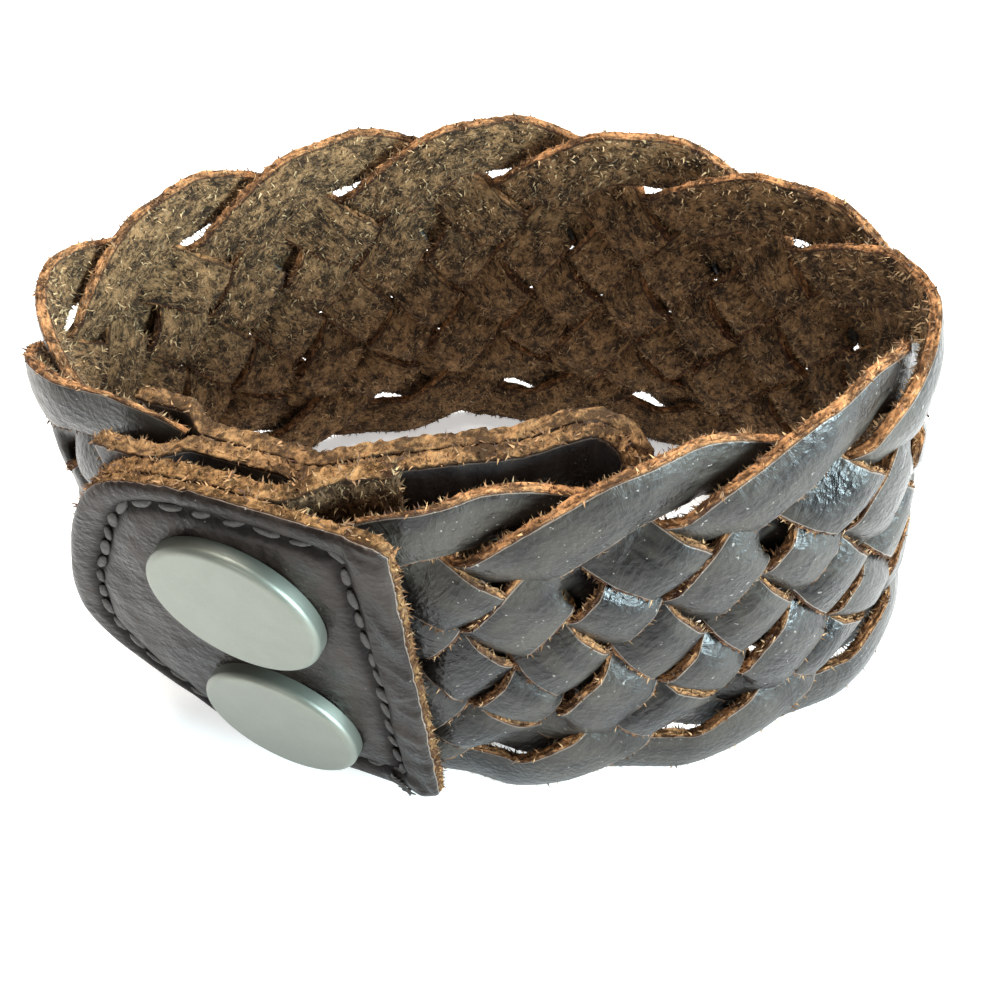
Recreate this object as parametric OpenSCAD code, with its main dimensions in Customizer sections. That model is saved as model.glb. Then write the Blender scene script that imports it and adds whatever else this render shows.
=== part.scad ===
// Woven leather cuff bracelet, fastened, standing on its lower edge.
// Eight leather strips are woven over and under each other into a flat band. Its ends are sewn
// between the two layers of a front tab and the two layers of a tongue that lies behind the tab.
// +Z is up, +X goes to the right along the front of the cuff, and the origin is the centre of its
// footprint on the surface it stands on.

/* [Woven band] */
// Height of the band, from its lower edge to its upper edge
band_h = 40; // [38:0.5:42]
// Width of one strip
strip_w = 4.9; // [4.6:0.1:5.2]
// Thickness of one strip
strip_t = 1.8; // [1.6:0.05:2]
// Distance along the band from one strip to the next one that leans the same way
strip_step = 7.9; // [7.6:0.05:8.5]
// Air left between two strips where one passes over the other
weave_gap = 0.5; // [0.2:0.05:0.6]
// Where the first turn of the weave lies, from the start of the route inside the tab
weave_from = 6; // [0:0.1:15.8]

/* [Tab and tongue] */
// Thickness of each leather layer
leather_t = 1.5; // [1.2:0.1:1.8]
// Height of the front tab
tab_h = 38.4; // [36:0.2:40]
// Height of the middle between the two caps
caps_z = 19.2; // [18.5:0.1:20]
// Length of the front tab on the far side of the caps, to its free end
tab_out = 19.4; // [17:0.2:21]
// Length of the front tab from the caps to the edge that holds the strips
tab_in = 14.2; // [13:0.2:15]
// Distance of the tongue's upper and lower edges from those of the band
tongue_inset = 1.5; // [1:0.1:3]
// Length of the tongue from the fastened studs to the edge that holds the strips
tongue_in = 12.1; // [11:0.1:13]
// How far the strips reach in between the layers of the tongue
tongue_hold = 4.4; // [3:0.1:5]

/* [Snaps] */
// Diameter of the flat caps on the tab
cap_d = 15; // [13:0.5:15.5]
// Thickness of a cap
cap_t = 1.5; // [1:0.1:1.8]
// Distance between the centres of the two caps
cap_pitch = 17.8; // [17:0.2:20]
// Room between the tab and the tongue, where the sockets grip the studs
snap_gap = 2.1; // [1.9:0.1:2.4]
// Distance along the tongue from the fastened studs to the spare ones
spare_step = 16.6; // [16:0.2:18]

/* [Hidden] */
strip_count = 8;

// Outer face of the tab under the caps seen from above, the way the tab leads, and the way in
snap_face = [-19.55, -23.27];
snap_dir = [cos(25.5), -sin(25.5)];
snap_in = [sin(25.5), cos(25.5)];
layer_gap = 0.1;
fit = 0.05;
leather_face = layer_gap / 2 + leather_t;
stud_mid = snap_face + (3 * leather_face + snap_gap) * snap_in;

// Route of the middle of the leather seen from above, and how far the band's lower edge stands
// outside its upper edge there. It starts at the strips' ends inside the tab, goes round the cuff,
// and ends at the free end of the tongue inside the front of the band.
band_route = [
    // [x, y, spread]
    [-16, -21.8, 0],
    [-13, -23.2, 0],
    [-11.2, -23.9, 0],
    [-6, -25.2, 0.5],
    [0, -25.4, 2],
    [8, -24.6, 3],
    [17, -22.7, 3.8],
    [26.4, -19.4, 4],
    [34, -13.8, 4],
    [36.9, -5.8, 4],
    [33.6, 2.8, 3],
    [27.2, 10.4, 1.5],
    [18.8, 17, 0.5],
    [8.4, 21.5, -0.5],
    [-3, 22.8, -0.5],
    [-14, 21, 0],
    [-24.4, 16.8, 1.5],
    [-32.6, 10.4, 3],
    [-36.6, 3, 3.5],
    [-35.8, -3.6, 3],
    [-32.4, -8.8, 2.5]
];
tongue_straight = [-11.5, -7.5, -3.5, 0, 2.9, 5.3];
tongue_end = [
    [-7.8, -19], [-4.2, -18.87], [-0.6, -18.73], [3, -18.6], [6.2, -17.7], [8.8, -17.3], [11, -18.1],
    [12.2, -19.3]
];
tongue_route = concat(
    [for (a = tongue_straight) stud_mid + a * snap_dir],
    tongue_end
);
// Middle of the tab's inner layer: flat behind the outer one, then in behind the strips' ends
tab_layer_mid = 1.5 * leather_t + layer_gap;
tab_layer_route = concat(
    [for (a = [-tab_out, -15, -11, -7, -3, 0.7, 4.4]) snap_face + a * snap_dir + tab_layer_mid * snap_in],
    [[-12.3, -22.65], [-10.2, -21.85], [-8, -21.8], [-5.9, -22.05]]
);
footprint_mid = [0.14, -2.78];

post_d = 3.6;
knob_d = 5.6;
stud_base = 0.5;
socket_h = snap_gap - stud_base - 3 * fit;
cap_round = 0.6;
ends_thin = 0.7;
ends_grow = 6;
weave_lift = (strip_t + weave_gap) / 2;
pocket_half = ends_thin * (weave_lift + strip_t / 2) + 0.35;
turn_narrow = 0.86;
turn_height = 1 - strip_w * turn_narrow / band_h;
rim_in = 1;

grain = "#3d3f42";
raw = "#8a6436";
metal = "#b9c2b8";

// Curve through a list of points, and the distances along it
function bend(a, b, c, d, t) =
    0.5 * (2 * b + (c - a) * t + (2 * a - 5 * b + 4 * c - d) * t * t + (3 * b - a - 3 * c + d) * t * t * t);
function curve(points, n = 8) = [
    for (i = [0:len(points) - 2], k = [0:n - 1])
        bend(points[max(i - 1, 0)], points[i], points[i + 1], points[min(i + 2, len(points) - 1)], k / n),
    points[len(points) - 1]
];
function apart(a, b) = norm([b.x - a.x, b.y - a.y]);
function lengths(path) = [
    for (i = 0, d = 0; i < len(path); d = d + (i + 1 < len(path) ? apart(path[i], path[i + 1]) : 0), i = i + 1) d
];

route = curve(concat(band_route, [for (p = tongue_route) [p.x, p.y, 0]]));
route_at = lengths(route);
route_x = [for (i = [0:len(route) - 1]) [route_at[i], route[i].x]];
route_y = [for (i = [0:len(route) - 1]) [route_at[i], route[i].y]];
route_spread = [for (i = [0:len(route) - 1]) [route_at[i], route[i].z]];
route_len = route_at[len(route_at) - 1];
stud_s = route_at[8 * (len(band_route) + 3)];
spare_s = stud_s + spare_step;
strip_start = 6.9;
tab_edge_s = 9.9;
tongue_start = stud_s - tongue_in;
band_to = tongue_start + tongue_hold;

// Place on the route, and the direction out of the cuff there
function on_route(s) = [lookup(s, route_x), lookup(s, route_y)] - footprint_mid;
function outward(s) = let (d = on_route(s + 0.5) - on_route(s - 0.5)) [d.y, -d.x] / norm(d);
function place(s, out) = on_route(s) + outward(s) * out;

function mix(a, b, t) = a + (b - a) * t;
function ease(t) = let (c = min(1, max(0, t))) c * c * (3 - 2 * c);
function sorted(list) = len(list) < 2 ? list :
    let (m = list[floor(len(list) / 2)])
    concat(sorted([for (v = list) if (v < m) v]), [m], sorted([for (v = list) if (v > m) v]));

// Weave: the first half of a strip's turn, in steps. Height is a share of half the band's height,
// slope is its change over one step, and skew turns the strip's sections so that they run along the
// strip that crosses it. The second half is the first one turned upside down and inside out.
// A wide turn takes the strip from the middle out to one edge of the band and back.
wide_turn = [
    // [step, height, slope, skew]
    [0, 0, 0.52, 0.25],
    [0.5, 0.26, 0.475, 0.05],
    [1, 0.475, 0.34, -0.25],
    [2, 0.77, 0.247, -0.8],
    [2.7, turn_height, 0, 0],
    [3.3, turn_height, 0, 0],
    [4, 0.77, -0.247, 0.8],
    [5, 0.475, -0.34, 0.25],
    [5.5, 0.26, -0.475, -0.05],
    [6, 0, -0.52, -0.25]
];
// A tight turn stays inside the wide ones
tight_turn = [
    // [step, height, slope, skew]
    [0, 0, 0.52, 0.25],
    [0.5, 0.26, 0.425, 0.1],
    [1, 0.425, 0, 0],
    [1.5, 0.26, -0.425, -0.1],
    [2, 0, -0.52, -0.25]
];
// Where a strip changes between lying over (1) and lying under (-1) the others
wide_swap = [
    // [step, half length, new side]
    [0.25, 0.04, 1],
    [0.735, 0.02, -1],
    [1.335, 0.065, 1],
    [3, 0.3, -1],
    [4.665, 0.065, 1],
    [5.265, 0.02, -1],
    [5.75, 0.04, 1]
];
tight_swap = [
    // [step, half length, new side]
    [0.25, 0.04, 1],
    [1, 0.11, -1],
    [1.75, 0.04, 1]
];
// Steps at which a strip gets a section between those of its changes
wide_between = [0, 0.5, 1.04, 1.7, 2, 2.3, 3, 3.7, 4, 4.3, 4.96, 5.5];
tight_between = [0, 0.55, 1, 1.45];

function side_table(swap) = [for (w = swap) each [[w[0] - w[1], -w[2]], [w[0] + w[1], w[2]]]];
function skew_table(turn) = [for (w = turn) [w[0], w[3]]];
function section_steps(swap, between) =
    sorted(concat([for (w = swap) each [w[0] - w[1], w[0] + w[1]]], between));
wide = [wide_turn, side_table(wide_swap), skew_table(wide_turn), section_steps(wide_swap, wide_between)];
tight = [tight_turn, side_table(tight_swap), skew_table(tight_turn), section_steps(tight_swap, tight_between)];

// Strips 1 to 6 run from edge to edge in wide turns, and strips 7 and 8 run in tight ones
function is_wide(k) = k <= 6;
function kind(k) = is_wide(k) ? wide : tight;
function half_turn(k) = is_wide(k) ? 6 : 2;
function offset_of(k) = is_wide(k) ? 2 * (k - 1) : 2 * (k - 7) + 1;
function steps_at(k, s) = (s - weave_from) / strip_step - offset_of(k);
function sign_at(k, s) = floor(steps_at(k, s) / half_turn(k)) % 2 == 0 ? 1 : -1;
function phase(k, s) = steps_at(k, s) - half_turn(k) * floor(steps_at(k, s) / half_turn(k));
function knot_before(turn, x) = [for (i = [0:len(turn) - 2]) if (x >= turn[i][0] && x < turn[i + 1][0]) i][0];
function wave(turn, x) =
    let (i = knot_before(turn, x), a = turn[i], b = turn[i + 1], d = b[0] - a[0], t = (x - a[0]) / d)
    (2 * t ^ 3 - 3 * t ^ 2 + 1) * a[1] + (t ^ 3 - 2 * t ^ 2 + t) * d * a[2]
    + (3 * t ^ 2 - 2 * t ^ 3) * b[1] + (t ^ 3 - t ^ 2) * d * b[2];
function width_at(k, f) = strip_w * (is_wide(k) ? mix(1, turn_narrow, ease((1.5 - abs(f - 3)) / 1.1)) : 1);

function strip_z(k, s) = sign_at(k, s) * wave(kind(k)[0], phase(k, s)) * band_h / 2;
function strip_angle(k, s) = atan((strip_z(k, s + 0.1) - strip_z(k, s - 0.1)) / 0.2);
function free_at(s) = min(s - tab_edge_s, tongue_start - s);
function thin_at(s) = mix(ends_thin, 1, ease(free_at(s) / ends_grow));
function open_at(s) = ease((free_at(s) + 1) / 12);

// Section of a strip: the four corners lie at each edge of its width, on its outer and inner face
function strip_section(k, s) =
    let (angle = strip_angle(k, s), f = phase(k, s), sign = sign_at(k, s),
         skew = sign * lookup(f, kind(k)[2]) * ease((min(s - strip_start, band_to - s) - 1) / 3),
         level = sign * lookup(f, kind(k)[1]) * weave_lift, z = strip_z(k, s), thin = thin_at(s),
         spread = lookup(s, route_spread))
    [for (corner = [[1, 1], [1, -1], [-1, -1], [-1, 1]])
        let (c = corner[0] * width_at(k, f) / 2,
             across_z = z + c * (cos(angle) + skew * sin(angle)),
             out = thin * (level + corner[1] * strip_t / 2)
                 + open_at(s) * (spread * (0.5 - across_z / band_h) - rim_in),
             p = place(s + c * (skew * cos(angle) - sin(angle)), out))
        [p.x, p.y, across_z + band_h / 2]
    ];
function strip_places(k) =
    let (s = [for (m = [-7:16], step = kind(k)[3])
                  weave_from + strip_step * (offset_of(k) + half_turn(k) * m + step)])
    concat([strip_start], [for (v = s) if (v > strip_start + 0.2 && v < band_to - 0.2) v], [band_to]);

// Solid swept through sections that have the same number of corners
module swept(sections) {
    n = len(sections[0]);
    m = len(sections);
    sides = [
        for (i = [0:m - 2], j = [0:n - 1])
            let (a = i * n + j, b = i * n + (j + 1) % n, c = a + n, d = b + n)
            each [[a, b, c], [b, d, c]]
    ];
    first = [for (j = [n - 1:-1:0]) j];
    last = [for (j = [0:n - 1]) (m - 1) * n + j];
    polyhedron([for (part = sections) each part], concat(sides, [first], [last]));
}

module strip(k) {
    color(grain) swept([for (s = strip_places(k)) strip_section(k, s)]);
}

// Upright wall of one layer of leather between two distances from a line seen from above
module wall(path, inner, outer, low, high) {
    last = len(path) - 1;
    out = [for (i = [0:last])
        let (d = path[min(i + 1, last)] - path[max(i - 1, 0)]) [d.y, -d.x] / norm(d)];
    translate([0, 0, low]) linear_extrude(high - low) polygon(concat(
        [for (i = [0:last]) path[i] + out[i] * outer[i]],
        [for (i = [last:-1:0]) path[i] + out[i] * inner[i]]
    ));
}

// Outline of the tab seen from outside, with the caps' middle at [0, 0]
tab_end = [
    // [along, up]
    [6, -17],
    [0, -17.4],
    [-5, -17.3],
    [-8.6, -15.8],
    [-11.4, -13.4],
    [-14, -11],
    [-16.4, -8.4],
    [-18.3, -5.6],
    [-19.4, -2],
    [-18.8, 2.4],
    [-17.2, 6.8],
    [-15.2, 11.3],
    [-13, 15.1],
    [-10.6, 17.9],
    [-7.6, 19.6],
    [-3.4, 20.6],
    [1, 21],
    [6, 21]
];
module tab_outline(end) {
    offset(r = 1.5, $fn = 24) offset(delta = -1.5)
        scale([tab_out / 19.4, tab_h / 38.4])
            polygon(concat(curve(tab_end, 3), [[end, 21], [end, -16.8]]));
}

// Shape seen from outside the front tab, with the caps' middle at [0, 0] and z = 0 on its outer face
module on_tab() {
    p = snap_face - footprint_mid;
    translate([p.x, p.y, caps_z]) rotate([90, 0, atan2(snap_dir.y, snap_dir.x)]) children();
}
// Shape seen from outside the tongue, at a distance along the route, with z = 0 halfway its layers
module on_tongue(s) {
    p = on_route(s);
    d = outward(s);
    translate([p.x, p.y, caps_z]) rotate([90, 0, atan2(d.y, d.x) + 90]) children();
}
snap_rows = [["upper", cap_pitch / 2], ["lower", -cap_pitch / 2]];
module post_holes() {
    for (row = snap_rows) translate([0, row[1], 0]) cylinder(h = 20, d = post_d + 0.2, center = true, $fn = 32);
}

module tab_outer() {
    color(grain) on_tab() translate([0, 0, -leather_t]) difference() {
        linear_extrude(leather_t) tab_outline(tab_in);
        post_holes();
    }
}
module tab_inner() {
    path = [for (p = curve(tab_layer_route, 6)) p - footprint_mid];
    half = [for (p = path) leather_t / 2];
    color(raw) difference() {
        intersection() {
            wall(path, -half, half, -1, band_h + 1);
            on_tab() translate([0, 0, -15]) linear_extrude(30) tab_outline(tab_in + 8);
        }
        on_tab() post_holes();
    }
}

// Half the room between the layers of the tongue, which open where they hold the strips' ends
function tongue_room(s) = layer_gap / 2 + pocket_half * ease((band_to + 3.4 - s) / 3);
module tongue_layer(side) {
    steps = 44;
    at = [for (i = [0:steps]) mix(tongue_start, route_len, i / steps)];
    near = [for (s = at) side * tongue_room(s)];
    far = [for (s = at) side * (tongue_room(s) + leather_t)];
    difference() {
        intersection() {
            wall([for (s = at) on_route(s)], near, far, tongue_inset, band_h - tongue_inset);
            translate([-50, 0, 0]) rotate([90, 0, 0]) linear_extrude(80, center = true)
                translate([0, tongue_inset]) offset(r = 5, $fn = 32) offset(delta = -5)
                    square([50 + tongue_end[len(tongue_end) - 1].x + 1.2 - footprint_mid.x, band_h - 2 * tongue_inset]);
        }
        on_tongue(stud_s) post_holes();
        on_tongue(spare_s) post_holes();
    }
}
module tongue_outer() {
    color(grain) tongue_layer(1);
}
module tongue_inner() {
    color(raw) tongue_layer(-1);
}

// Cap: a flat disc with a rounded rim on a post that goes through both layers of the tab
module cap(row) {
    color(metal) on_tab() translate([0, row, 0]) {
        translate([0, 0, fit]) rotate_extrude($fn = 64) {
            square([cap_d / 2 - cap_round, cap_t]);
            square([cap_d / 2, cap_t - cap_round]);
            intersection() {
                translate([cap_d / 2 - cap_round, cap_t - cap_round]) circle(cap_round, $fn = 24);
                translate([cap_d / 2 - cap_round, cap_t - cap_round]) square(cap_round);
            }
        }
        translate([0, 0, -2 * leather_face - 0.3]) cylinder(h = 2 * leather_face + 0.5, d = post_d, $fn = 32);
    }
}
// Socket: a flanged ring on the inner face of the tab, open towards the tongue
module socket(row) {
    color(metal) on_tab() translate([0, row, -2 * leather_face - fit]) rotate([180, 0, 0]) difference() {
        union() {
            cylinder(h = 0.5, d = 9.6, $fn = 48);
            cylinder(h = socket_h, d = 8.4, $fn = 48);
        }
        translate([0, 0, -1]) cylinder(h = 4, d = post_d + 0.1, $fn = 32);
        translate([0, 0, 0.5]) cylinder(h = 4, d = knob_d + 0.2, $fn = 48);
    }
}
// Stud: a base disc on the outer face of the tongue with the knob that the socket grips
module stud(s, row) {
    color(metal) on_tongue(s) translate([0, row, leather_face + fit]) difference() {
        union() {
            cylinder(h = stud_base, d = 8.6, $fn = 48);
            cylinder(h = snap_gap - 0.75, d = knob_d, $fn = 48);
        }
        translate([0, 0, -1]) cylinder(h = 1.6, d = post_d + 0.1, $fn = 32);
    }
}
// Post: a flat plate on the inner face of the tongue, its shank through both layers into the stud
module post(s, row) {
    color(metal) on_tongue(s) translate([0, row, -leather_face - fit]) {
        translate([0, 0, -0.7]) cylinder(h = 0.7, d = 8.6, $fn = 48);
        translate([0, 0, -0.1]) cylinder(h = 2 * leather_face + 0.6, d = post_d, $fn = 32);
    }
}

for (k = [1:strip_count]) strip(k);
tab_outer();
tab_inner();
tongue_outer();
tongue_inner();
for (row = snap_rows) {
    cap(row[1]);
    socket(row[1]);
    stud(stud_s, row[1]);
    post(stud_s, row[1]);
    stud(spare_s, row[1]);
    post(spare_s, row[1]);
}
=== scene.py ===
import math

import bpy
import numpy as np
from mathutils import Matrix, Vector


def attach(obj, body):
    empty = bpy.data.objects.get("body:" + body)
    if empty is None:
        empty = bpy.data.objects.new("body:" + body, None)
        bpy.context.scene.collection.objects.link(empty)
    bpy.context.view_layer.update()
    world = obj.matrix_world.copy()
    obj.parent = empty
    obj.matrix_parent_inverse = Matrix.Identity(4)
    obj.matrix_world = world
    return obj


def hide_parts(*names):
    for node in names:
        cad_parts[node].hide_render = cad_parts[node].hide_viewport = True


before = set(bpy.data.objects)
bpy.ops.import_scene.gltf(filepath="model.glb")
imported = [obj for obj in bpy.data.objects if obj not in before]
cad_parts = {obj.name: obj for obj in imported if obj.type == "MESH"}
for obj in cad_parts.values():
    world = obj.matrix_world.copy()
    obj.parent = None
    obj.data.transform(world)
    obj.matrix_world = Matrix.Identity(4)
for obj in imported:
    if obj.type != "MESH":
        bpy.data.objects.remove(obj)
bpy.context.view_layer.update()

# Woven band
# Eight flat strips of waxed leather, grain outside and rough suede inside, with crumbly cut edges.
# They pass over and under each other, turn back along the band's edges, and are held by their
# ends, sewn between the layers of the tab at one end and of the tongue at the other.
MM = 0.001
BAND_H = 40
STRIP_W = 6.25
STRIP_T = 1.8
STRIP_STEP = 7.9
WEAVE_GAP = 0.5
WEAVE_FROM = 6
FOOTPRINT_MID = np.array([0.14, -2.78])
SNAP_FACE = np.array([-19.55, -23.27])
SNAP_DIR = np.array([math.cos(math.radians(25.5)), -math.sin(math.radians(25.5))])
SNAP_IN = np.array([-SNAP_DIR[1], SNAP_DIR[0]])
LEATHER_T = 1.5
LAYER_GAP = 0.1
SNAP_GAP = 2.1
STRIP_START, TAB_EDGE = 6.9, 9.9
TONGUE_BEFORE_STUD, STRIP_IN_TONGUE = 12.1, 4.4
PATH_STEP = 0.45
ROUTE_STEPS = 32
BAND_ROUTE = [
    # x, y, how far the lower edge stands outside the upper edge
    (-16, -21.8, 0), (-13, -23.2, 0), (-11.2, -23.9, 0), (-6, -25.2, 0.5), (0, -25.4, 2),
    (8, -24.6, 3), (17, -22.7, 3.8), (26.4, -19.4, 4), (34, -13.8, 4), (36.9, -5.8, 4),
    (33.6, 2.8, 3), (27.2, 10.4, 1.5), (18.8, 17, 0.5), (8.4, 21.5, -0.5), (-3, 22.8, -0.5),
    (-14, 21, 0), (-24.4, 16.8, 1.5), (-32.6, 10.4, 3), (-36.6, 3, 3.5), (-35.8, -3.6, 3),
    (-32.4, -8.8, 2.5),
]
TONGUE_STRAIGHT = (-11.5, -7.5, -3.5, 0, 2.9, 5.3)
TONGUE_END = [
    (-7.8, -19), (-4.2, -18.87), (-0.6, -18.73), (3, -18.6), (6.2, -17.7), (8.8, -17.3),
    (11, -18.1), (12.2, -19.3),
]
STUD_MID = SNAP_FACE + (3 * (LAYER_GAP / 2 + LEATHER_T) + SNAP_GAP) * SNAP_IN
WIDE_TURN = np.array([
    # step, height as a share of half the band's height, slope, slant of the section
    (0, 0, 0.52, 0.25), (0.5, 0.26, 0.475, 0.05), (1, 0.475, 0.33, -0.25), (2, 0.75, 0.228, -0.8),
    (2.7, 0.8625, 0, 0), (3.3, 0.8625, 0, 0), (4, 0.75, -0.228, 0.8), (5, 0.475, -0.33, 0.25),
    (5.5, 0.26, -0.475, -0.05), (6, 0, -0.52, -0.25),
])
TIGHT_TURN = np.array([
    (0, 0, 0.52, 0.25), (0.5, 0.28, 0.46, 0.1), (1, 0.49, 0, 0), (1.5, 0.28, -0.46, -0.1),
    (2, 0, -0.52, -0.25),
])
WIDE_SWAP = [
    # step where the strip changes sides, half the length of the change, new side
    (0.25, 0.17, 1), (0.735, 0.15, -1), (1.335, 0.26, 1), (3, 0.9, -1), (4.665, 0.26, 1),
    (5.265, 0.15, -1), (5.75, 0.17, 1),
]
TIGHT_SWAP = [(0.25, 0.17, 1), (1, 0.3, -1), (1.75, 0.17, 1)]


def through(points, steps):
    """A smooth curve through points, as the part's source draws it."""
    p = np.array(points, float)
    out = []
    for i in range(len(p) - 1):
        a, b, c, d = p[max(i - 1, 0)], p[i], p[i + 1], p[min(i + 2, len(p) - 1)]
        for t in np.arange(steps) / steps:
            out.append(0.5 * (2 * b + (c - a) * t + (2 * a - 5 * b + 4 * c - d) * t**2
                              + (3 * b - a - 3 * c + d) * t**3))
    return np.array(out + [p[-1]])


def along(path):
    """Distances along a path, from its first point."""
    return np.concatenate([[0], np.cumsum(np.linalg.norm(np.diff(path[:, :2], axis=0), axis=1))])


def ease(t):
    t = np.clip(t, 0, 1)
    return t * t * (3 - 2 * t)


tongue_points = [(*(STUD_MID + a * SNAP_DIR), 0) for a in TONGUE_STRAIGHT]
tongue_points += [(x, y, 0) for x, y in TONGUE_END]
route = through(BAND_ROUTE + tongue_points, ROUTE_STEPS)
route_at = along(route)
stud_s = route_at[ROUTE_STEPS * (len(BAND_ROUTE) + TONGUE_STRAIGHT.index(0))]
tongue_start = stud_s - TONGUE_BEFORE_STUD
band_to = tongue_start + STRIP_IN_TONGUE
route_len = route_at[-1]


def on_route(s):
    """Places in the flat, in the row frame, at distances along the middle of the band."""
    x = np.interp(s, route_at, route[:, 0]) - FOOTPRINT_MID[0]
    y = np.interp(s, route_at, route[:, 1]) - FOOTPRINT_MID[1]
    return np.stack([x, y], -1)


def outward(s):
    """Directions out of the band at distances along it."""
    d = on_route(np.asarray(s) + 0.5) - on_route(np.asarray(s) - 0.5)
    n = np.stack([d[..., 1], -d[..., 0]], -1)
    return n / np.linalg.norm(n, axis=-1, keepdims=True)


def wave(turn, f):
    """Height of a strip by its step f in one half turn."""
    i = np.clip(np.searchsorted(turn[:, 0], f, side="right") - 1, 0, len(turn) - 2)
    a, b = turn[i], turn[i + 1]
    d = b[:, 0] - a[:, 0]
    t = (f - a[:, 0]) / d
    return ((2 * t**3 - 3 * t**2 + 1) * a[:, 1] + (t**3 - 2 * t**2 + t) * d * a[:, 2]
            + (3 * t**2 - 2 * t**3) * b[:, 1] + (t**3 - t**2) * d * b[:, 2])


def side(swaps, f, half):
    """Which side of the band a strip lies on, from 1 outside to -1 inside, by its step."""
    sign = 1 - 2 * (np.floor(f / half) % 2)
    f = f % half
    out = np.full(f.shape, -1.0)
    for at, length, new in swaps:
        out = np.where(f > at - length, -new + 2 * new * ease((f - at + length) / (2 * length)), out)
    return sign * out


def strip_path(k):
    """Places across a strip all along it: its two edges on the middle of its thickness.

    Strips 1 to 6 run from edge to edge of the band, and strips 7 and 8 stay inside their turns.
    """
    wide = k <= 6
    turn, swaps, half = (WIDE_TURN, WIDE_SWAP, 6) if wide else (TIGHT_TURN, TIGHT_SWAP, 2)
    offset = 2 * (k - 1) if wide else 2 * (k - 7) + 1
    steps = lambda s: (s - WEAVE_FROM) / STRIP_STEP - offset
    sign = lambda s: 1 - 2 * (np.floor(steps(s) / half) % 2)
    height = lambda s: sign(s) * wave(turn, steps(s) % half) * BAND_H / 2
    s = np.arange(STRIP_START, band_to, 0.02)
    z = height(s)
    run = np.concatenate([[0], np.cumsum(np.hypot(np.diff(s), np.diff(z)))])
    at = np.linspace(0, run[-1], int(run[-1] / PATH_STEP))
    s = np.interp(at, run, s)
    z = height(s)
    slope = np.gradient(z, s)
    f = steps(s) % half
    free = np.minimum(s - TAB_EDGE, tongue_start - s)
    thin = 0.7 + 0.3 * ease(free / 6)
    width = STRIP_W * (1 - (0.12 * ease((1.5 - np.abs(f - 3)) / 1.1) if wide else 0))
    skew = sign(s) * np.interp(f, turn[:, 0], turn[:, 3])
    skew *= ease((np.minimum(s - STRIP_START, band_to - s) - 1) / 3)
    lean = 1 / np.hypot(1, slope)
    ends = []
    for c in (width / 2, -width / 2):
        z_c = z + c * lean
        s_c = s - c * slope * lean
        met = steps(s) - skew * c * lean / STRIP_STEP
        level = side(swaps, met, half) * (STRIP_T + WEAVE_GAP) / 2
        spread = np.interp(s, route_at, route[:, 2])
        opened = ease((free + 1) / 12)
        out = thin * level + opened * (spread * (0.5 - z_c / BAND_H) - 1)
        xy = on_route(s_c) + outward(s_c) * out[:, None]
        ends.append(np.column_stack([xy, z_c + BAND_H / 2]))
    return at, ends[0], ends[1], np.column_stack([outward(s), np.zeros(len(s))]), thin


class Wire:
    """One output of a node, with the arithmetic that shaders and geometry are written in."""

    def __init__(self, board, node, out=0):
        self.board, self.node = board, node
        self.socket = node.outputs[out] if len(node.outputs) else None

    def out(self, name):
        return Wire(self.board, self.node, name)

    def sum(self, operation, *values):
        return self.board.node("ShaderNodeMath", {"operation": operation}, dict(enumerate(values)))

    def __add__(self, other):
        return self.sum("ADD", self, other)

    def __sub__(self, other):
        return self.sum("SUBTRACT", self, other)

    def __rsub__(self, other):
        return self.sum("SUBTRACT", other, self)

    def __mul__(self, other):
        return self.sum("MULTIPLY", self, other)

    def __truediv__(self, other):
        return self.sum("DIVIDE", self, other)

    def __abs__(self):
        return self.sum("ABSOLUTE", self)

    __radd__ = __add__
    __rmul__ = __mul__

    def between(self, low, high):
        """0 below low, 1 above high, and eased between them."""
        sockets = {"Value": self, "From Min": low, "From Max": high}
        return self.board.node("ShaderNodeMapRange", {"interpolation_type": "SMOOTHSTEP"}, sockets)

    def scaled(self, factor):
        return self.board.node("ShaderNodeVectorMath", {"operation": "SCALE"},
                               {0: self, "Scale": factor})

    def times(self, vector):
        return self.board.node("ShaderNodeVectorMath", {"operation": "MULTIPLY"}, {0: self, 1: vector})

    def plus(self, vector):
        return self.board.node("ShaderNodeVectorMath", {"operation": "ADD"}, {0: self, 1: vector})

    def parts(self):
        split = self.board.node("ShaderNodeSeparateXYZ", {}, {0: self})
        return split.out("X"), split.out("Y"), split.out("Z")


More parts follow.
